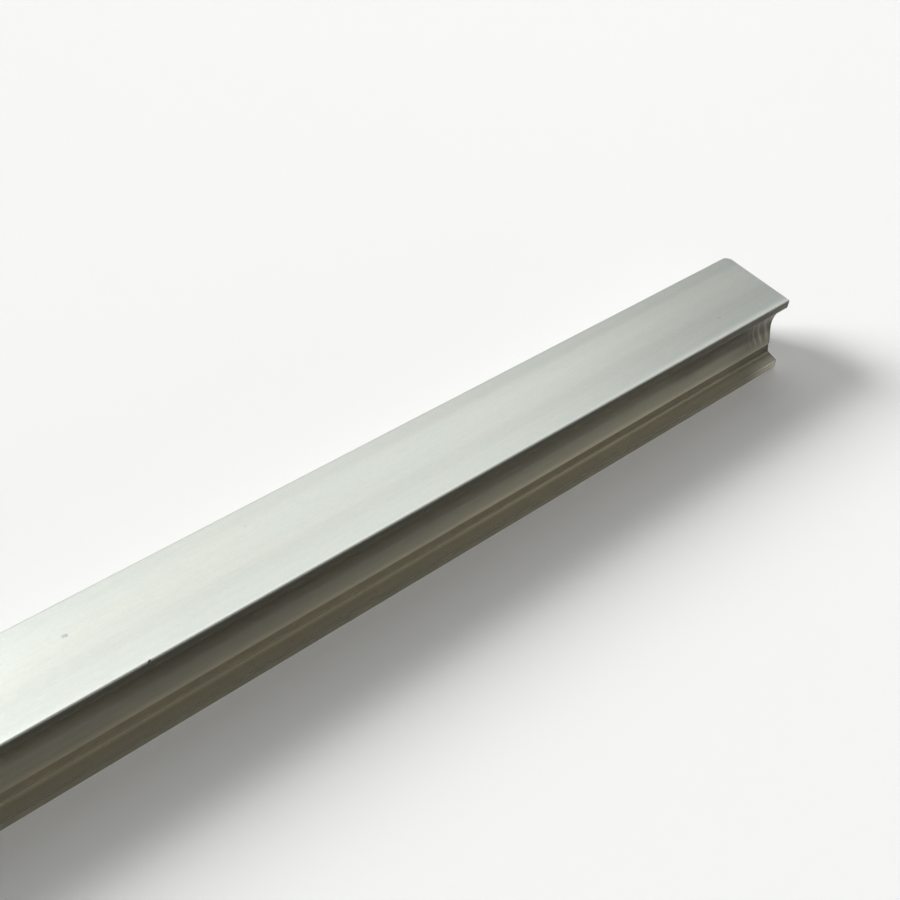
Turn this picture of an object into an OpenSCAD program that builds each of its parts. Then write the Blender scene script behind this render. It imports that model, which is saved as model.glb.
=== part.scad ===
// Extruded aluminium profile: a flat head on a waisted neck that stands on a wider foot.
// The bar lies along X on its foot, with the origin under the middle of its length.

/* [Bar] */
// Length of the bar as cut
length = 500; // [100:10:3000]
// Height from the underside of the foot to the top of the head
height = 20.3; // [18:0.1:24]

/* [Head] */
// Width across the flat head
head_w = 20; // [18.6:0.1:22]
// Height of the upright face at each edge of the head
lip_t = 2.3; // [1.8:0.1:3]
// Radius on the upper edges of the head
head_edge_r = 0.4; // [0.2:0.05:0.8]
// Radius on the lower edge of each lip
lip_edge_r = 0.7; // [0.2:0.05:0.9]
// Radius of the blunted corner at the back of the head, on the +X end
blunt_corner_r = 2.2; // [0.5:0.1:3]

/* [Neck] */
// Width across the neck where its leaning walls meet the ledges of the foot
neck_base_w = 17.8; // [17:0.1:18.6]
// Angle that each wall of the neck leans out towards the foot
wall_lean = 12.5; // [10:0.5:14]
// Radius of the cove that runs from each lip down into the wall
cove_r = 9; // [8.4:0.1:9.6]
// Depth of the shallow relief at the bottom of each wall
relief_d = 0.25; // [0.2:0.05:0.4]
// Height of that relief above the ledge
relief_h = 2.4; // [1.4:0.1:3]
// Radius on the upper edge of the relief
relief_edge_r = 0.1; // [0.05:0.05:0.15]

/* [Foot] */
// Width across the foot
foot_w = 23.4; // [22:0.1:25]
// Height of the upright face at each edge of the foot
foot_t = 2.6; // [2:0.1:3.2]
// Angle that each ledge of the foot falls away from the neck
ledge_fall = 12; // [6:0.5:16]
// Radius on the edges of the foot
foot_edge_r = 0.45; // [0.2:0.05:0.7]
// Radius in the corner between a ledge and the neck
root_r = 0.4; // [0.2:0.05:0.6]

/* [Chamber] */
// Thickness of the walls beside the chamber
wall_t = 2; // [1.2:0.1:2.4]
// Thickness of the head above the chamber
crown_t = 2.4; // [1.6:0.1:3]
// Thickness of the foot below the chamber
floor_t = 2.4; // [1.6:0.1:3]
// Radius in the corners of the chamber
chamber_r = 0.7; // [0.3:0.05:1]

/* [Hidden] */
$fn = 96;
// How far a cut runs past the metal
overrun = 1;
// How far an arc bites into the line that it runs into
blend = 0.0005;
// How far the sides of a cove's sector reach, in radii
sector_share = 1.5;
mill_finish = [0.86, 0.87, 0.84];

head_half = head_w / 2;
foot_half = foot_w / 2;
neck_base_half = neck_base_w / 2;

// Directions in the section on the +Y side: out of a wall and up along it, out along a ledge and up from it
wall_out = [cos(wall_lean), sin(wall_lean)];
wall_up = [-sin(wall_lean), cos(wall_lean)];
ledge_out = [cos(ledge_fall), -sin(ledge_fall)];
ledge_up = [sin(ledge_fall), cos(ledge_fall)];

// Where the line of a wall meets the ledge, and where the bottom of the relief does
root = [neck_base_half, foot_t + (foot_half - neck_base_half) * tan(ledge_fall)];
relief_root = root - ledge_out * relief_d / cos(wall_lean + ledge_fall);
relief_top = root + wall_up * relief_h / cos(wall_lean);

// The cove touches the wall and ends at the lower corner of the lip
lip = [head_half, height - lip_t];
lip_reach = (lip - root) * wall_out;
cove_turn = wall_lean - acos((cove_r - lip_reach) / cove_r);
cove = lip + cove_r * [cos(cove_turn), sin(cove_turn)];
wall_top = cove - cove_r * wall_out;
waste_y = cove[0] + overrun;

// The rounding of the lip touches the lip's upright face and the cove
lip_arc_y = head_half - lip_edge_r;
lip_arc = [lip_arc_y, cove[1] + sqrt(pow(cove_r + lip_edge_r, 2) - pow(cove[0] - lip_arc_y, 2))];
lip_edge_share = lip_edge_r / (cove_r + lip_edge_r);

// The rounding of the foot's upper edge touches its upright face and the ledge
foot_arc_y = foot_half - foot_edge_r;
foot_arc = [foot_arc_y, foot_t + foot_edge_r * tan(ledge_fall) - foot_edge_r / cos(ledge_fall)];

// The chamber's walls follow the neck's walls and coves, so the metal there has one thickness
chamber_top = height - crown_t;
flare_r = cove_r + wall_t;
flare_y = cove[0] - sqrt(pow(flare_r, 2) - pow(chamber_top - cove[1], 2));
inner_top = cove - flare_r * wall_out;
inner_foot = [inner_top[0] + (inner_top[1] - floor_t) * tan(wall_lean), floor_t];
inner_end = [inner_foot[0] + overrun * tan(wall_lean), floor_t - overrun];
// The rounding of an upper corner touches the chamber's roof and the flared wall
flare_arc_z = chamber_top - chamber_r;
flare_arc = [cove[0] - sqrt(pow(flare_r + chamber_r, 2) - pow(flare_arc_z - cove[1], 2)), flare_arc_z];
chamber_edge_share = chamber_r / (flare_r + chamber_r);

// A place on the straight line from one point to another, or beyond it where the share is above one
function between(start, end, share) = start + (end - start) * share;

// The waste outside a rounded square edge that faces +Y, with up at 1 for an upper edge and -1 for a lower one
module edge_waste(y, z, r, up) {
    difference() {
        translate([y - r, up > 0 ? z - r : z - overrun])
            square(r + overrun);
        translate([y - r, z - up * r])
            circle(r);
    }
}

// The metal that rounds an inner corner, whose sides leave it in the directions of run and rise
module corner_fill(corner, run, rise, r) {
    half_turn = acos(run * rise) / 2;
    reach = r / tan(half_turn);
    bisector = (run + rise) / norm(run + rise);
    arc_centre = corner + bisector * r / sin(half_turn);
    difference() {
        polygon([
            corner - bisector * overrun,
            corner + run * reach,
            arc_centre,
            corner + rise * reach
        ]);
        translate(arc_centre)
            circle(r + blend);
    }
}

// The waste below the rounded lower edge of a lip
module lip_waste() {
    difference() {
        polygon([
            lip_arc,
            [head_half + overrun, lip_arc[1]],
            [head_half + overrun, lip[1]],
            between(lip_arc, cove, lip_edge_share)
        ]);
        translate(lip_arc)
            circle(lip_edge_r + blend);
    }
}

// The waste above the rounded upper edge of the foot
module foot_waste() {
    difference() {
        polygon([
            foot_arc,
            [foot_half + overrun, foot_arc[1]],
            [foot_half + overrun, foot_t],
            foot_arc + foot_edge_r * ledge_up
        ]);
        translate(foot_arc)
            circle(foot_edge_r + blend);
    }
}

// The space beside the head and neck on the +Y side, with its edges still sharp
module side_space() {
    polygon([
        relief_root,
        relief_top - wall_out * relief_d,
        relief_top,
        wall_top,
        lip,
        [head_half, height + overrun],
        [waste_y, height + overrun],
        [waste_y, root[1] - (waste_y - root[0]) * tan(ledge_fall)]
    ]);
    intersection() {
        translate(cove)
            circle(cove_r + blend);
        polygon([
            cove,
            between(cove, relief_top, sector_share),
            between(cove, lip, sector_share)
        ]);
    }
}

// Everything outside the metal on the +Y side
module side_waste() {
    difference() {
        side_space();
        corner_fill(relief_root, ledge_out, wall_up, root_r);
    }
    translate(relief_top)
        rotate(wall_lean)
            edge_waste(0, 0, relief_edge_r, -1);
    lip_waste();
    foot_waste();
    edge_waste(head_half, height, head_edge_r, 1);
    edge_waste(foot_half, 0, foot_edge_r, -1);
}

// The metal in a rounded upper corner of the chamber
module flare_fill() {
    difference() {
        polygon([
            flare_arc,
            [flare_arc[0], chamber_top + overrun],
            [flare_y + overrun, chamber_top + overrun],
            [flare_y + overrun, chamber_top],
            between(flare_arc, cove, chamber_edge_share)
        ]);
        translate(flare_arc)
            circle(chamber_r + blend);
    }
}

// The hollow inside the neck, which widens under the head and towards the foot
module chamber() {
    difference() {
        translate([-foot_half, floor_t])
            square([foot_w, chamber_top - floor_t]);
        for (side = [0, 1])
            mirror([side, 0]) {
                polygon([
                    inner_end,
                    inner_top,
                    cove,
                    [waste_y, cove[1]],
                    [waste_y, floor_t - overrun]
                ]);
                translate(cove)
                    circle(flare_r + blend);
                corner_fill(inner_foot, [-1, 0], wall_up, chamber_r);
                flare_fill();
            }
    }
}

module section() {
    difference() {
        translate([-foot_half, 0])
            square([foot_w, height]);
        for (side = [0, 1])
            mirror([side, 0])
                side_waste();
        chamber();
    }
}

// The waste outside the blunted corner of the head
module blunt_corner_waste() {
    translate([length / 2 - blunt_corner_r, head_half - blunt_corner_r, cove[1]])
        linear_extrude(height - cove[1] + overrun)
            difference() {
                square(blunt_corner_r + overrun);
                circle(blunt_corner_r);
            }
}

module profile_bar() {
    color(mill_finish)
        difference() {
            translate([-length / 2, 0, 0])
                rotate([90, 0, 90])
                    linear_extrude(length)
                        section();
            blunt_corner_waste();
        }
}

profile_bar();
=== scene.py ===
import math

import bpy
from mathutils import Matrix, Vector


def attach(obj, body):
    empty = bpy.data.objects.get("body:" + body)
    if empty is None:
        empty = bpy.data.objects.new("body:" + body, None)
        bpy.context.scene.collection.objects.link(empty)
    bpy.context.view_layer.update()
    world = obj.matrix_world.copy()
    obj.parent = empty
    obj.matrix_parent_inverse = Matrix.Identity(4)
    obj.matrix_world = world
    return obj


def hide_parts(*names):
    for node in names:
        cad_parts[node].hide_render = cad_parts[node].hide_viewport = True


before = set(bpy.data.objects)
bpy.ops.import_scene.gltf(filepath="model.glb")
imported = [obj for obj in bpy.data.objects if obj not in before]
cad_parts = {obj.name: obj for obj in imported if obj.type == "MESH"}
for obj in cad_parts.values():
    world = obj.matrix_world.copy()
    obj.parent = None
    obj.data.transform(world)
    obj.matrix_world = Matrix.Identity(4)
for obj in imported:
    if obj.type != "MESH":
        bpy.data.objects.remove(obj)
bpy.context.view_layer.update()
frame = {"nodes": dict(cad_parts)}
print("frame loaded:", ", ".join(frame["nodes"]))

mm = 0.001
close = 0.001  # millimetres within which two points are one


def freshStart():
    if bpy.context.object and bpy.context.object.mode != "OBJECT":
        bpy.ops.object.mode_set(mode="OBJECT")
    bpy.ops.object.select_all(action="DESELECT")


def pickOnly(piece):
    freshStart()
    piece.select_set(True)
    bpy.context.view_layer.objects.active = piece


def applyPlace():
    bpy.ops.object.transform_apply(location=True, rotation=True, scale=True)


def applyModifier(piece, kind, **settings):
    pickOnly(piece)
    made = piece.modifiers.new(kind.lower(), kind)
    for key, value in settings.items():
        setattr(made, key, value)
    bpy.ops.object.modifier_apply(modifier=made.name)


def cutAway(piece, waste):
    applyModifier(piece, "BOOLEAN", operation="DIFFERENCE", object=waste, solver="EXACT")
    bpy.data.objects.remove(waste)


def selectVerts(piece, test):
    # picks vertices by their place, from edit mode and back into it
    bpy.ops.mesh.select_mode(type="VERT")
    bpy.ops.mesh.select_all(action="DESELECT")
    bpy.ops.object.mode_set(mode="OBJECT")
    for vert in piece.data.vertices:
        vert.select = test(vert.co / mm)
    bpy.ops.object.mode_set(mode="EDIT")


shot = {
    "place": (0.08390, -0.10681, 0.16949),
    "turn": (41.629, -1.266, -36.894),  # degrees
    "lens": 40.0,
    "sensor": 36.0,
    "shift": (-0.0333, -0.0111),
    "clipStart": 0.01,
}


def addCamera():
    freshStart()
    bpy.ops.object.camera_add(location=shot["place"], rotation=[math.radians(a) for a in shot["turn"]])
    camera = bpy.context.object
    camera.name = "shotCamera"
    camera.data.lens = shot["lens"]
    camera.data.sensor_width = shot["sensor"]
    camera.data.shift_x, camera.data.shift_y = shot["shift"]
    camera.data.clip_start = shot["clipStart"]
    bpy.context.scene.camera = camera


addCamera()
print("camera set")

# the bar in millimetres and degrees, the same sizes as the solid
bar = {
    "length": 500.0,
    "height": 20.3,
    "headW": 20.0,
    "lipT": 2.3,
    "headEdgeR": 0.4,
    "lipEdgeR": 0.7,
    "bluntCornerR": 2.2,
    "neckBaseW": 17.8,
    "wallLean": 12.5,
    "coveR": 9.0,
    "reliefD": 0.25,
    "reliefH": 2.4,
    "reliefEdgeR": 0.1,
    "footW": 23.4,
    "footT": 2.6,
    "ledgeFall": 12.0,
    "footEdgeR": 0.45,
    "rootR": 0.4,
    "wallT": 2.0,
    "crownT": 2.4,
    "floorT": 2.4,
    "chamberR": 0.7,
    "deburr": 0.08,  # how far the sawn edges are broken
    "overrun": 1.0,  # how far a cut runs past the metal
    "smoothAngle": 30.0,
    # how many faces go round each curve
    "edgeSteps": 8,
    "reliefSteps": 4,
    "coveSteps": 40,
    "flareSteps": 32,
    "bluntSides": 96,
    "stations": (-249.92, -249.0, -245.0, -235.0, -200.0, -150.0, -100.0, -50.0, 0.0,
                 50.0, 100.0, 150.0, 200.0, 235.0, 240.0, 249.92, 250.0),
    "nick": {"place": (92.4, -9.9, 20.4), "half": (0.45, 0.41, 0.36)},
}

# ripples across the front groove at the far end
chatter = {
    "from": 240.6,
    "to": 249.8,
    "rings": 46,
    # place along the bar, half its width, and how much painted highlight its top gets
    "ridges": ((242.2, 0.5, 0.35), (243.7, 0.6, 0.75), (245.5, 0.7, 1.05), (247.8, 1.1, 0.9)),
    "slant": -0.34,  # how far a ridge moves along the bar for each millimetre up the wall
    "middle": 11.0,  # the height at which a ridge stands at its place
    "low": 5.8,
    "high": 17.0,
    "front": -7.0,  # the front wall lies beyond this
    "rise": 0.035,
    # where the painted highlight on the ridges starts and stops, how far it wanders, and how much painted
    # shade darkens the wall between
    "highlightX": (240.6, 241.6),
    "highlightY": (-6.0, -5.0),
    "highlightZ": ((6.0, 9.0), (14.0, 17.0)),
    "wander": 0.7,
    "dull": 0.08,
}


def moved(at, way, far):
    return at[0] + way[0] * far, at[1] + way[1] * far


def corner(at, run, rise, r):
    # centre of an arc that rounds an inner corner, and how far along each side it starts
    halfTurn = math.acos(run[0] * rise[0] + run[1] * rise[1]) / 2
    mid = (run[0] + rise[0], run[1] + rise[1])
    return moved(at, mid, r / math.sin(halfTurn) / math.hypot(*mid)), r / math.tan(halfTurn)


def sectionPath():
    # half the outline and half the chamber as lines (y, z) and arcs (centre, sweep in degrees, steps)
    b = bar
    edge = b["edgeSteps"]
    lean, fall = math.radians(b["wallLean"]), math.radians(b["ledgeFall"])
    headHalf, footHalf, neckHalf = b["headW"] / 2, b["footW"] / 2, b["neckBaseW"] / 2
    wallOut, wallUp = (math.cos(lean), math.sin(lean)), (-math.sin(lean), math.cos(lean))
    ledgeOut, ledgeUp = (math.cos(fall), -math.sin(fall)), (math.sin(fall), math.cos(fall))
    root = (neckHalf, b["footT"] + (footHalf - neckHalf) * math.tan(fall))
    reliefRoot = moved(root, ledgeOut, -b["reliefD"] / math.cos(lean + fall))
    reliefTop = moved(root, wallUp, b["reliefH"] / math.cos(lean))

    lip = (headHalf, b["height"] - b["lipT"])
    lipReach = (lip[0] - root[0]) * wallOut[0] + (lip[1] - root[1]) * wallOut[1]
    turn = lean - math.acos((b["coveR"] - lipReach) / b["coveR"])
    cove = moved(lip, (math.cos(turn), math.sin(turn)), b["coveR"])
    arcY = headHalf - b["lipEdgeR"]
    lipArc = (arcY, cove[1] + math.sqrt((b["coveR"] + b["lipEdgeR"]) ** 2 - (cove[0] - arcY) ** 2))
    lipTurn = math.degrees(math.atan2(cove[1] - lipArc[1], cove[0] - lipArc[0]))
    reliefArc = moved(moved(reliefTop, wallUp, b["reliefEdgeR"]), wallOut, -b["reliefEdgeR"])
    rootArc, rootReach = corner(reliefRoot, ledgeOut, wallUp, b["rootR"])
    footR = b["footEdgeR"]
    footArc = (footHalf - footR, b["footT"] + footR * math.tan(fall) - footR / math.cos(fall))
    outer = [
        ("line", (0.0, b["height"])),
        ("line", (headHalf - b["headEdgeR"], b["height"])),
        ("arc", (headHalf - b["headEdgeR"], b["height"] - b["headEdgeR"]), -90.0, edge),
        ("line", (headHalf, lipArc[1])),
        ("arc", lipArc, lipTurn, edge),
        ("arc", cove, b["wallLean"] - lipTurn, b["coveSteps"]),
        ("line", moved(reliefArc, wallOut, b["reliefEdgeR"])),
        ("arc", reliefArc, -90.0, b["reliefSteps"]),
        ("line", moved(reliefTop, wallOut, -b["reliefD"])),
        ("line", moved(reliefRoot, wallUp, rootReach)),
        ("arc", rootArc, 90.0 - b["wallLean"] - b["ledgeFall"], edge),
        ("line", moved(footArc, ledgeUp, footR)),
        ("arc", footArc, b["ledgeFall"] - 90.0, edge),
        ("line", (footHalf, footR)),
        ("arc", (footHalf - footR, footR), -90.0, edge),
        ("line", (0.0, 0.0)),
    ]

    roof = b["height"] - b["crownT"]
    flareR = b["coveR"] + b["wallT"]
    arcZ = roof - b["chamberR"]
    flareArc = (cove[0] - math.sqrt((flareR + b["chamberR"]) ** 2 - (arcZ - cove[1]) ** 2), arcZ)
    flareTurn = math.degrees(math.atan2(cove[1] - arcZ, cove[0] - flareArc[0]))
    innerTop = moved(cove, wallOut, -flareR)
    innerFoot = (innerTop[0] + (innerTop[1] - b["floorT"]) * math.tan(lean), b["floorT"])
    floorArc, floorReach = corner(innerFoot, (-1.0, 0.0), wallUp, b["chamberR"])
    inner = [
        ("line", (0.0, roof)),
        ("line", (flareArc[0], roof)),
        ("arc", flareArc, flareTurn - 90.0, edge),
        ("arc", cove, b["wallLean"] - flareTurn, b["flareSteps"]),
        ("line", moved(innerFoot, wallUp, floorReach)),
        ("arc", floorArc, -90.0 - b["wallLean"], edge),
        ("line", (0.0, b["floorT"])),
    ]
    return outer, inner, cove


def drawTube(name, path, stations, inside):
    # a wire drawn from one vertex, mirrored, and pulled along the bar
    freshStart()
    x = -bar["length"] / 2
    y, z = path[0][1]
    bpy.ops.mesh.primitive_plane_add(size=mm, location=(x * mm, y * mm, z * mm))
    piece = bpy.context.object
    piece.name = name
    applyPlace()
    bpy.ops.object.mode_set(mode="EDIT")
    bpy.ops.mesh.select_mode(type="VERT")
    bpy.ops.mesh.select_all(action="SELECT")
    bpy.ops.mesh.merge(type="CENTER")
    for step in path[1:]:
        if step[0] == "line":
            ny, nz = step[1]
            move = (0.0, (ny - y) * mm, (nz - z) * mm)
            bpy.ops.mesh.extrude_vertices_move(TRANSFORM_OT_translate={"value": move})
            y, z = ny, nz
        else:
            cy, cz = step[1]
            turn = math.radians(step[2])
            centre = (x * mm, cy * mm, cz * mm)
            bpy.ops.mesh.spin(steps=step[3], angle=-turn, center=centre, axis=(1.0, 0.0, 0.0))
            y, z = (cy + (y - cy) * math.cos(turn) - (z - cz) * math.sin(turn),
                    cz + (y - cy) * math.sin(turn) + (z - cz) * math.cos(turn))
    bpy.ops.object.mode_set(mode="OBJECT")
    applyModifier(piece, "MIRROR", use_axis=(False, True, False), merge_threshold=close * mm)
    bpy.ops.object.mode_set(mode="EDIT")
    bpy.ops.mesh.select_all(action="SELECT")
    bpy.ops.mesh.remove_doubles(threshold=close / 2 * mm)
    for station in stations:
        bpy.ops.mesh.select_mode(type="EDGE")
        bpy.ops.mesh.extrude_region_move(TRANSFORM_OT_translate={"value": ((station - x) * mm, 0.0, 0.0)})
        x = station
    bpy.ops.mesh.select_all(action="SELECT")
    bpy.ops.mesh.normals_make_consistent(inside=inside)
    # the sawn edges are broken a little
    end = bar["length"] / 2 - close
    selectVerts(piece, lambda at: abs(at.x) > end)
    bpy.ops.transform.shrink_fatten(value=-bar["deburr"] * mm)
    bpy.ops.object.mode_set(mode="OBJECT")
    return piece


def raiseChatter(piece):
    # the ripples stand a little proud of the wall and fade out above and below
    c = chatter
    group = piece.vertex_groups.new(name="chatter")
    for vert in piece.data.vertices:
        at = vert.co / mm
        if at.y > c["front"] or not c["from"] < at.x < c["to"] or not c["low"] < at.z < c["high"]:
            continue
        fade = math.sin(math.pi * (at.z - c["low"]) / (c["high"] - c["low"]))
        along = at.x - c["slant"] * (at.z - c["middle"])
        lift = 0.0
        for ridge, half, _ in c["ridges"]:
            off = abs(along - ridge) / half
            if off < 1.0:
                lift += 0.5 + 0.5 * math.cos(math.pi * off)
        if lift:
            group.add([vert.index], min(1.0, lift * fade), "REPLACE")
    applyModifier(piece, "DISPLACE", direction="NORMAL", vertex_group=group.name, mid_level=0.0,
                  strength=c["rise"] * mm)
    piece.vertex_groups.clear()


def makeBar():
    outer, inner, cove = sectionPath()
    step = (chatter["to"] - chatter["from"]) / chatter["rings"]
    rings = [chatter["from"] + step * i for i in range(chatter["rings"] + 1)]
    piece = drawTube("profileBar", outer, sorted(list(bar["stations"]) + rings), False)
    raiseChatter(piece)
    chamber = drawTube("chamberTube", inner, bar["stations"], True)
    pickOnly(piece)
    chamber.select_set(True)
    bpy.ops.object.join()
    bpy.ops.object.mode_set(mode="EDIT")
    for side in (-1, 1):  # the two sawn faces
        selectVerts(piece, lambda at: at.x * side > bar["length"] / 2 - close)
        bpy.ops.mesh.select_mode(type="EDGE")
        bpy.ops.mesh.fill(use_beauty=True)
    bpy.ops.mesh.select_all(action="SELECT")
    bpy.ops.mesh.normals_make_consistent(inside=False)
    bpy.ops.object.mode_set(mode="OBJECT")
    return piece, cove


def cutBluntCorner(piece, cove):
    # the knocked corner at the back of the head, rounded in plan
    r, over = bar["bluntCornerR"], bar["overrun"]
    at = (bar["length"] / 2 - r, bar["headW"] / 2 - r)
    low, high = cove[1], bar["height"] + over
    middle = [(v + (r + over) / 2) * mm for v in at] + [(low + high) / 2 * mm]
    freshStart()
    bpy.ops.mesh.primitive_cube_add(size=1.0, location=middle)
    waste = bpy.context.object
    waste.scale = ((r + over) * mm, (r + over) * mm, (high - low) * mm)
    applyPlace()
    freshStart()
    bpy.ops.mesh.primitive_cylinder_add(vertices=bar["bluntSides"], radius=r * mm,
                                        depth=(high - low + 2 * over) * mm,
                                        location=(at[0] * mm, at[1] * mm, (low + high) / 2 * mm))
    core = bpy.context.object
    applyPlace()
    cutAway(waste, core)
    cutAway(piece, waste)


def cutNick(piece):
    # a small bite out of the front edge of the head
    n = bar["nick"]
    freshStart()
    bpy.ops.mesh.primitive_ico_sphere_add(subdivisions=3, radius=1.0, location=[v * mm for v in n["place"]])
    bite = bpy.context.object
    bite.scale = [v * mm for v in n["half"]]
    applyPlace()
    cutAway(piece, bite)


profileBar, coveCentre = makeBar()
print("bar drawn:", len(profileBar.data.polygons), "faces")
cutBluntCorner(profileBar, coveCentre)
cutNick(profileBar)
pickOnly(profileBar)
bpy.ops.object.shade_smooth_by_angle(angle=math.radians(bar["smoothAngle"]))
print("bar cut:", len(profileBar.data.polygons), "faces")


class Value:
    # a number in a finish; an expression on values adds its Math nodes
    def __init__(self, finish, socket):
        self.finish, self.socket = finish, socket

    def work(self, operation, first, second):
        made = self.finish.node("ShaderNodeMath", {"operation": operation}, {0: first, 1: second})
        return Value(self.finish, made.outputs[0])

    def __add__(self, other):
        return self.work("ADD", self, other)

    def __radd__(self, other):
        return self.work("ADD", other, self)

    def __sub__(self, other):
        return self.work("SUBTRACT", self, other)

    def __rsub__(self, other):
        return self.work("SUBTRACT", other, self)

    def __mul__(self, other):
        return self.work("MULTIPLY", self, other)

    def __rmul__(self, other):
        return self.work("MULTIPLY", other, self)

    def __truediv__(self, other):
        return self.work("DIVIDE", self, other)

    def __rtruediv__(self, other):
        return self.work("DIVIDE", other, self)

    def __pow__(self, other):
        return self.work("POWER", self, other)

    def __abs__(self):
        return self.work("ABSOLUTE", self, 0.0)

    def vary(self, depth):
        # a noise made into a factor about 1
        return 1 + depth * (self - 0.5)


class Finish:
    # one material and its nodes
    def __init__(self, name):
        self.material = bpy.data.materials.new(name)
        self.material.use_nodes = True
        self.tree = self.material.node_tree
        self.tree.nodes.clear()

    def node(self, kind, settings, sockets):
        made = self.tree.nodes.new(kind)
        for key, value in settings.items():
            if key == "stops":
                self.setStops(made.color_ramp.elements, value)
            else:
                setattr(made, key, value)
        for key, value in sockets.items():
            if isinstance(value, Value):
                self.tree.links.new(value.socket, made.inputs[key])
            elif isinstance(value, bpy.types.NodeSocket):
                self.tree.links.new(value, made.inputs[key])
            else:
                made.inputs[key].default_value = value
        return made

    def setStops(self, elements, stops):
        while len(elements) < len(stops):
            elements.new(1.0)
        for element, (place, colour) in zip(elements, stops):
            element.position, element.color = place, colour

    def step(self, value, low, high):
        # 0 below low, 1 above high, smooth between
        made = self.node("ShaderNodeMapRange", {"interpolation_type": "SMOOTHSTEP"},
                         {"Value": value, "From Min": low, "From Max": high})
        return Value(self, made.outputs[0])

    def stretch(self, value, start, stop):
        # 1 from a soft start to a soft stop, each a pair of places, or None where it is open
        mask = self.step(value, *start) if start else 1.0
        return mask * (1 - self.step(value, *stop)) if stop else mask

    def band(self, value, low, high, soft):
        return self.stretch(value, (low - soft, low + soft), (high - soft, high + soft))

    def spot(self, x, y, place, half):
        # 1 in the middle of an oval mark on the head, 0 outside it
        away = (((x - place[0]) / half[0]) ** 2 + ((y - place[1]) / half[1]) ** 2) ** 0.5
        return 1 - self.step(away, 0.5, 1.0)

    def mixed(self, share, first, second):
        made = self.node("ShaderNodeMix", {"data_type": "RGBA"}, {0: share, 6: first, 7: second})
        return made.outputs[2]

    def toned(self, colour, tone):
        # a colour made lighter or darker by a value
        made = self.node("ShaderNodeVectorMath", {"operation": "SCALE"}, {0: colour, "Scale": tone})
        return made.outputs[0]

    def noise(self, place, scale, detail, rough):
        # scale counts per millimetre along x, y and z
        stretched = self.node("ShaderNodeVectorMath", {"operation": "MULTIPLY"}, {0: place, 1: scale})
        made = self.node("ShaderNodeTexNoise", {}, {"Vector": stretched.outputs[0], "Scale": 1.0,
                                                    "Detail": detail, "Roughness": rough})
        return Value(self, made.outputs[0])


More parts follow.
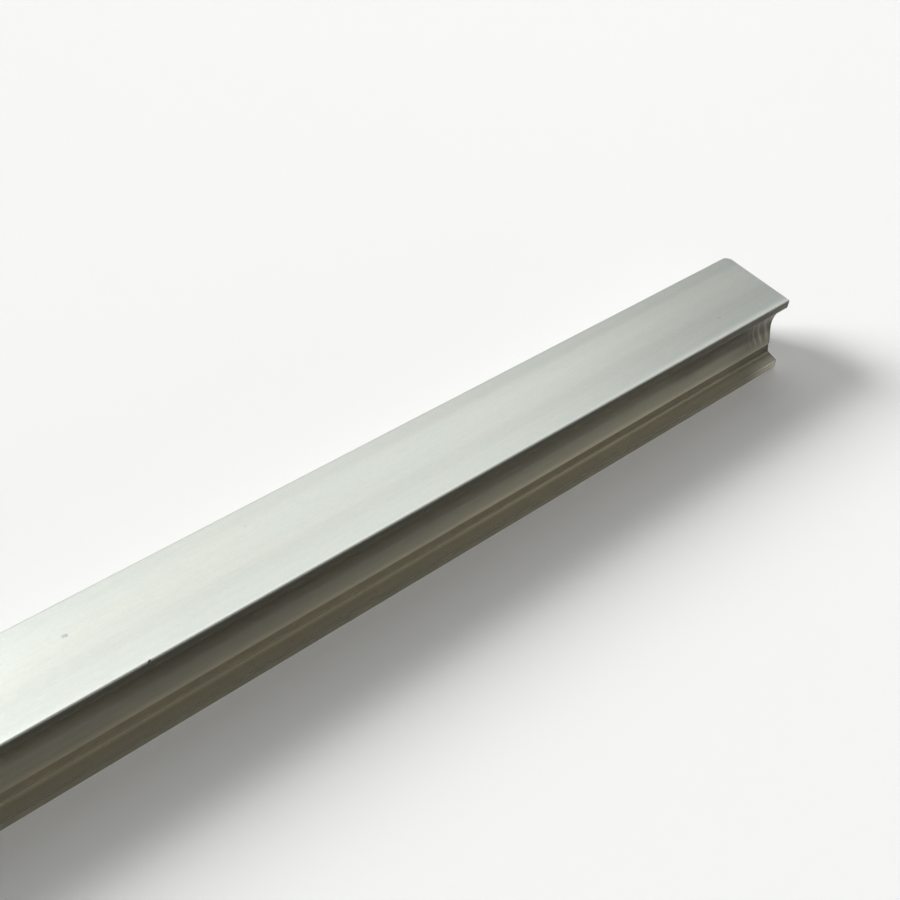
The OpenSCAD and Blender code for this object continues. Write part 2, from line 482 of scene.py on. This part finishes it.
# places in the finish are in millimetres along the bar (x), across it (y) and up (z)
millFinish = {
    "metal": (0.815, 0.855, 0.795, 1.0),
    "warmMetal": (0.85, 0.86, 0.77, 1.0),
    "speck": (0.52, 0.60, 0.60, 1.0),
    "plain": (0.76, 0.77, 0.74),  # inside the chamber and under the foot
    "sawn": (0.80, 0.81, 0.79),
    # noise: scale along x, y and z, then detail and roughness
    "streaks": ((0.004, 1.1, 1.1), 3.0, 0.6),
    "lines": ((0.01, 9.0, 9.0), 2.0, 0.5),
    "grain": ((2.0, 5.0, 5.0), 2.0, 0.5),
    "mottle": ((0.35, 1.6, 1.6), 3.0, 0.6),
    "clouds": ((0.02, 0.12, 0.12), 2.0, 0.5),
    "wobble": ((0.5, 0.5, 0.35), 2.0, 0.5),
    "sawMarks": ((3.0, 0.01, 1.0), 3.0, 0.6),
    "sawCentre": (150.0, -60.0),  # where the saw's spindle stood, across and up
    # soft starts of the zones: how far below the head's top and from the ends, then across and up
    "headBelow": (0.2, 0.03),
    "sawnFromEnd": (0.07, 0.03),
    "skinY": (7.05, 7.2),
    "skinZ": (0.05, 0.4),
    "nickHalf": (0.5, 0.08),  # half its length and how soft its ends are
    "nickBelow": (0.4, 0.3),
    "nickY": (-9.45, -9.2),
    # the head: how much of it is warm, its tone, and marks on it
    "warmShare": 0.45,
    "warmClouds": (0.45, 0.75),
    "headTone": 1.012,
    # change of tone, where it starts and stops along x, and where along y; the brighter bands on the front
    # third and the front edge are a painted highlight
    "headMarksAndHighlight": (
        (-0.03, None, None, (5.8, 7.2), None),
        (-0.06, (100.0, 190.0), None, (5.8, 7.2), None),
        (-0.05, (130.0, 190.0), None, (2.5, 6.5), None),
        (-0.08, None, None, (9.5, 9.7), None),
        (-0.015, None, None, (-0.04, 0.08), (0.16, 0.28)),
        (-0.03, None, None, (-5.1, -4.3), (-2.4, -1.6)),
        (0.02, None, None, None, (-9.0, -4.5)),
        (0.04, (75.0, 110.0), None, None, (-9.0, -4.5)),
        (0.06, (80.0, 105.0), None, (-9.77, -9.53), (-9.32, -9.08)),
        (0.06, (110.0, 210.0), None, (-9.77, -9.53), (-9.32, -9.08)),
    ),
    # place, half size and strength
    "specks": (
        ((82.72, 2.94), (0.36, 0.48), 0.75),
        ((83.18, 2.84), (0.38, 0.5), 0.9),
        ((232.2, -4.9), (0.5, 0.4), 0.35),
        ((118.3, 5.6), (0.4, 0.3), 0.3),
    ),
    # the dull skin in the grooves, darkened further by painted shade: its tints, partly a painted
    # reflection of warm surroundings, and how bright it is by height, with painted shade up the wall, under
    # the lip and in the relief, and painted highlight lines at the root and the relief's upper edge
    "footSkinReflectionTint": (1.0, 0.917, 0.699),
    "wallSkinReflectionTint": (1.0, 0.957, 0.764),
    "wallFrom": 5.0,
    "skinAndShadeLevels": (
        (0.0, 0.41), (2.0, 0.41), (2.6, 0.38), (3.0, 0.4), (3.07, 0.47), (3.12, 0.72), (3.2, 0.86),
        (3.26, 0.22), (3.35, 0.135), (3.5, 0.16), (3.6, 0.2), (4.2, 0.25), (4.85, 0.3), (5.05, 0.66),
        (5.65, 0.74), (6.0, 0.69), (6.8, 0.53), (8.4, 0.4), (9.2, 0.335), (10.3, 0.262), (12.4, 0.285),
        (13.4, 0.33), (17.9, 0.33), (18.3, 0.18), (18.65, 0.135), (20.3, 0.12),
    ),
    # how far those levels, with their painted highlight lines, climb, from where along x, and where this
    # starts and stops along z
    "climbs": (
        (0.12, (70.0, 115.0), (4.35, 4.85), (5.15, 5.65)),
        (0.12, (175.0, 230.0), (4.35, 4.85), (5.15, 5.65)),
        (0.035, (130.0, 220.0), None, None),
    ),
    "skinAndShadeTone": 0.915,
    # painted light along the bar: tone of the foot and the wall, each at the near and the far end
    "footLightEnds": (0.96, 1.02),
    "wallLightEnds": (0.86, 1.14),
    "endsX": (90.0, 210.0),
    "wallZ": ((4.85, 5.05), (14.0, 18.0)),
    # painted shade that darkens the highlight on the foot's upper edge: change of tone, and where it starts
    # along y and z
    "footRimShade": (-0.56, (11.4, 11.56), (2.1, 2.35)),
    # painted shade in the relief towards the far end: change of tone, where it starts along x, and where it
    # starts and stops along z
    "reliefShade": (-0.17, (130.0, 225.0), (3.25, 3.41), (4.87, 5.03)),
    # painted shade and painted light on the grooves near the ends: change of tone, where it starts and
    # stops along x, and where along z
    "skinLightAndShade": (
        (-0.39, (230.0, 244.0), None, (3.0, 3.6), (15.3, 15.9)),
        (-0.12, (205.0, 245.0), None, (5.3, 6.1), (8.1, 8.9)),
        (-0.3, (185.0, 250.0), None, (3.0, 3.08), (3.26, 3.34)),
        (-0.28, (213.0, 223.0), (238.0, 248.0), (8.5, 10.3), (13.6, 15.4)),
        (0.25, None, (72.0, 100.0), (8.5, 10.3), (13.6, 15.4)),
        (-0.13, None, (72.0, 100.0), (4.5, 5.3), (6.8, 7.6)),
        (-0.4, (249.55, 249.8), None, None, None),
    ),
    # the far end of the ledge, lighter from painted light and from wear: where it lies, how much brighter,
    # and how much of its skin is gone
    "ledgeEndX": (239.0, 249.5),
    "ledgeEndY": (9.4, 11.6),
    "ledgeEndZ": (3.0, 3.3),
    "wornLitTone": 0.85,
    "wornBare": 0.3,
    "backLessSkinAndShade": 0.6,  # how much of the skin and its painted shade the back lacks
    "headRough": 0.38,
    "edgeRough": 0.14,  # added along the head's front edge
    "edgeNear": 0.3,  # the share of that at the near end
    "edgeX": (130.0, 220.0),
    "edgeY": (-9.5, -8.2),
    "nickRough": 0.35,  # added inside the nick
    "skinRough": 0.28,
    "plainRough": 0.42,
    "sawnRough": 0.34,
    "roughVary": 0.03,
    "headRoughVary": 0.05,  # added on the head
    "sawDepth": 3.0,  # the saw's marks beside the die's lines
    "bump": 0.05,
    "bumpHeight": 0.0001,  # metres
}


def makeMillFinish():
    f = Finish("millFinish")
    m = millFinish
    high, end = bar["height"], bar["length"] / 2
    place = f.node("ShaderNodeTexCoord", {}, {}).outputs["Object"]
    inMm = f.node("ShaderNodeVectorMath", {"operation": "SCALE"}, {0: place, "Scale": 1 / mm}).outputs[0]
    parts = f.node("ShaderNodeSeparateXYZ", {}, {0: inMm})
    x, y, z = (Value(f, out) for out in parts.outputs)

    onHead = f.step(z, *(high - v for v in m["headBelow"]))
    onSawn = f.step(abs(x), *(end - v for v in m["sawnFromEnd"]))
    onSkin = f.step(abs(y), *m["skinY"]) * f.step(z, *m["skinZ"])
    nickX = bar["nick"]["place"][0]
    nickHalf, nickSoft = m["nickHalf"]
    inNick = f.band(x, nickX - nickHalf, nickX + nickHalf, nickSoft)
    inNick = inNick * f.step(z, *(high - v for v in m["nickBelow"])) * f.stretch(y, None, m["nickY"])
    streaks = f.noise(inMm, *m["streaks"])
    lines = f.noise(inMm, *m["lines"])
    grain = f.noise(inMm, *m["grain"])
    mottle = f.noise(inMm, *m["mottle"])
    clouds = f.noise(inMm, *m["clouds"])
    wobble = f.noise(inMm, *m["wobble"])

    # the head: bands left by the die, a painted highlight along the front edge and the front third, and
    # small specks
    tone = m["headTone"]
    for change, startX, stopX, startY, stopY in m["headMarksAndHighlight"]:
        tone = tone + change * f.stretch(x, startX, stopX) * f.stretch(y, startY, stopY)
    tone = tone * streaks.vary(0.06) * lines.vary(0.03) * mottle.vary(0.07) * grain.vary(0.12)
    warm = m["warmShare"] * f.step(clouds, *m["warmClouds"])
    headColour = f.toned(f.mixed(warm, m["metal"], m["warmMetal"]), tone)
    for spot, half, share in m["specks"]:
        headColour = f.mixed(share * f.spot(x, y, spot, half), headColour, m["speck"])

    # the grooves: a dull skin with painted shade under the lip, up the wall and in the relief, painted
    # highlight lines at the root and the relief's edge, and browner on the foot
    stops = []
    for at, level in m["skinAndShadeLevels"]:
        tint = m["footSkinReflectionTint"] if at < m["wallFrom"] else m["wallSkinReflectionTint"]
        stops.append((at / high, (*(level * v for v in tint), 1.0)))
    levelZ = z
    for climb, startX, startZ, stopZ in m["climbs"]:
        levelZ = levelZ - climb * f.step(x, *startX) * f.stretch(z, startZ, stopZ)
    skinAndShadeColour = f.node("ShaderNodeValToRGB", {"stops": stops}, {0: levelZ / high}).outputs[0]
    skinAndShadeTone = m["skinAndShadeTone"] * streaks.vary(0.175) * lines.vary(0.1)
    # painted shade on the foot's upper edge, darkening its highlight
    change, startY, startZ = m["footRimShade"]
    skinAndShadeTone = skinAndShadeTone * (1 + change * f.step(abs(y), *startY) * f.step(z, *startZ))

    # painted light, a little brighter towards the far end, with painted shade again on its wall, and the
    # far end of the foot lighter from painted light and wear
    wallStart, wallStop = m["wallZ"]
    onWall = f.step(levelZ, *wallStart) * f.stretch(z, None, wallStop)
    farther = f.step(x, *m["endsX"])
    footNear, footFar = m["footLightEnds"]
    wallNear, wallFar = m["wallLightEnds"]
    footTone = footNear + (footFar - footNear) * farther
    wallTone = wallNear + (wallFar - wallNear) * farther
    skinAndShadeTone = skinAndShadeTone * (footTone + (wallTone - footTone) * onWall)
    # painted shade in the relief, deeper towards the far end
    change, startX, startZ, stopZ = m["reliefShade"]
    skinAndShadeTone = skinAndShadeTone * (1 + change * f.step(x, *startX) * f.stretch(levelZ, startZ, stopZ))
    # painted shade and light on the grooves near each end
    for change, startX, stopX, startZ, stopZ in m["skinLightAndShade"]:
        skinAndShadeTone = skinAndShadeTone * (1 + change * f.stretch(x, startX, stopX) * f.stretch(z, startZ, stopZ))
    # painted light and wear lighten the far end of the ledge
    wornAndLitEnd = f.step(x, *m["ledgeEndX"]) * f.step(abs(y), *m["ledgeEndY"]) * f.stretch(z, None, m["ledgeEndZ"])
    skinAndShadeTone = skinAndShadeTone * (1 + m["wornLitTone"] * wornAndLitEnd)

    # the ripples at the far end get a painted highlight on top and painted shade between
    c = chatter
    along = x - c["slant"] * (z - c["middle"]) + c["wander"] * (wobble - 0.5)
    ridgeHighlight = sum(highlightAmount * f.band(along, ridge - 0.4 * half, ridge + 0.4 * half, 0.5 * half)
                 for ridge, half, highlightAmount in c["ridges"])
    rippled = f.step(x, *c["highlightX"]) * f.stretch(y, None, c["highlightY"]) * f.stretch(z, *c["highlightZ"])
    skinAndShadeTone = skinAndShadeTone * (1 + rippled * (ridgeHighlight * mottle.vary(0.8) - c["dull"]))
    skinAndShadeColour = f.toned(skinAndShadeColour, skinAndShadeTone)

    # the end of the ledge, where it wears, keeps less of the skin, and the back keeps less of the skin and
    # its painted shade
    plainColour = f.toned(m["plain"], streaks.vary(0.1))
    skinAndShadeColour = f.mixed(m["wornBare"] * wornAndLitEnd, skinAndShadeColour, plainColour)
    skinAndShadeColour = f.mixed(m["backLessSkinAndShade"] * f.step(y, 0.0, 1.0), skinAndShadeColour, plainColour)

    # arcs left by the saw on the cut faces
    sawY, sawZ = m["sawCentre"]
    fromSaw = ((y - sawY) ** 2 + (z - sawZ) ** 2) ** 0.5
    sawPlace = f.node("ShaderNodeCombineXYZ", {}, {0: fromSaw, 1: x}).outputs[0]
    sawMarks = f.noise(sawPlace, *m["sawMarks"])
    sawnColour = f.toned(m["sawn"], sawMarks.vary(0.24))

    colour = f.mixed(onSkin, plainColour, skinAndShadeColour)
    colour = f.mixed(onHead, colour, headColour)
    colour = f.mixed(onSawn, colour, sawnColour)
    onEdge = m["edgeNear"] + (1 - m["edgeNear"]) * f.step(x, *m["edgeX"])
    onEdge = onEdge * f.stretch(y, None, m["edgeY"])
    headRough = m["headRough"] + m["edgeRough"] * onEdge
    rough = m["plainRough"] + (m["skinRough"] - m["plainRough"]) * onSkin
    rough = rough + (headRough - rough) * onHead + m["nickRough"] * inNick * (1 - onHead)
    rough = rough + (m["sawnRough"] - rough) * onSawn
    rough = rough + (m["roughVary"] + m["headRoughVary"] * onHead) * (grain - 0.5)
    relief = (0.6 * lines + 0.4 * streaks) * (1 - onSawn) + m["sawDepth"] * sawMarks * onSawn
    bump = f.node("ShaderNodeBump", {}, {"Height": relief, "Strength": m["bump"],
                                         "Distance": m["bumpHeight"]})
    shader = f.node("ShaderNodeBsdfPrincipled", {}, {"Base Color": colour, "Roughness": rough,
                                                     "Metallic": 1.0, "Normal": bump.outputs[0]})
    f.node("ShaderNodeOutputMaterial", {}, {"Surface": shader.outputs[0]})
    return f.material


profileBar.data.materials.clear()
profileBar.data.materials.append(makeMillFinish())
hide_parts("profile_bar")
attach(profileBar, "root")
print("finish on")

studio = {
    "fill": 0.26,
    "aim": (0.15, 0.0, 0.02),
    # azimuth from the bar's far end towards its back and height in degrees, then metres and radiance
    "softbox": {"azimuth": 70.0, "height": 52.0, "away": 1.6, "size": 1.4, "radiance": 0.62},
    "key": {"azimuth": 132.0, "height": 30.0, "away": 11.0, "size": 4.5, "radiance": 22.5},
    "floor": (0.94, 0.94, 0.93, 1.0),
    "floorRough": 0.9,
    "floorShine": 0.1,
    "floorRadius": 1.6,
    "floorSides": 96,
    "floorDrop": 0.0001,  # keeps the floor just clear of the foot
    # each ring of the rim: how far it rises, and how many times wider it gets
    "sweep": ((0.03, 1.12), (0.07, 1.08), (0.12, 1.05), (0.2, 1.03), (0.32, 1.01)),
}


def addLamp(name):
    lamp = studio[name]
    turn, lift = math.radians(lamp["azimuth"]), math.radians(lamp["height"])
    away = Vector((math.cos(lift) * math.cos(turn), math.cos(lift) * math.sin(turn), math.sin(lift)))
    freshStart()
    bpy.ops.object.light_add(type="AREA", location=Vector(studio["aim"]) + lamp["away"] * away)
    made = bpy.context.object
    made.name = name
    made.rotation_euler = away.to_track_quat("Z", "Y").to_euler()
    made.data.shape = "SQUARE"
    made.data.size = lamp["size"]
    made.data.energy = math.pi * lamp["size"] ** 2 * lamp["radiance"]
    made.visible_camera = False


def makeFloor():
    # a wide disc whose rim sweeps up into a backdrop
    freshStart()
    bpy.ops.mesh.primitive_circle_add(vertices=studio["floorSides"], radius=studio["floorRadius"],
                                      fill_type="NGON", location=(0.0, 0.0, -studio["floorDrop"]))
    floor = bpy.context.object
    floor.name = "studioFloor"
    applyPlace()
    bpy.ops.object.mode_set(mode="EDIT")
    bpy.ops.mesh.select_mode(type="EDGE")
    bpy.ops.mesh.select_all(action="SELECT")
    for lift, grow in studio["sweep"]:
        bpy.ops.mesh.extrude_edges_move(TRANSFORM_OT_translate={"value": (0.0, 0.0, lift)})
        bpy.ops.transform.resize(value=(grow, grow, 1.0), center_override=(0.0, 0.0, 0.0))
    bpy.ops.object.mode_set(mode="OBJECT")
    bpy.ops.object.shade_smooth()
    f = Finish("paleFloor")
    shader = f.node("ShaderNodeBsdfPrincipled", {}, {"Base Color": studio["floor"],
                                                     "Roughness": studio["floorRough"],
                                                     "Specular IOR Level": studio["floorShine"]})
    f.node("ShaderNodeOutputMaterial", {}, {"Surface": shader.outputs[0]})
    floor.data.materials.append(f.material)


def makeStudio():
    world = bpy.data.worlds.new("studioFill")
    world.use_nodes = True
    sky = world.node_tree.nodes["Background"].inputs
    sky["Color"].default_value = (1.0, 1.0, 1.0, 1.0)
    sky["Strength"].default_value = studio["fill"]
    bpy.context.scene.world = world
    addLamp("softbox")
    addLamp("key")
    makeFloor()
    bpy.context.scene.view_settings.view_transform = "Standard"


makeStudio()
print("studio set")
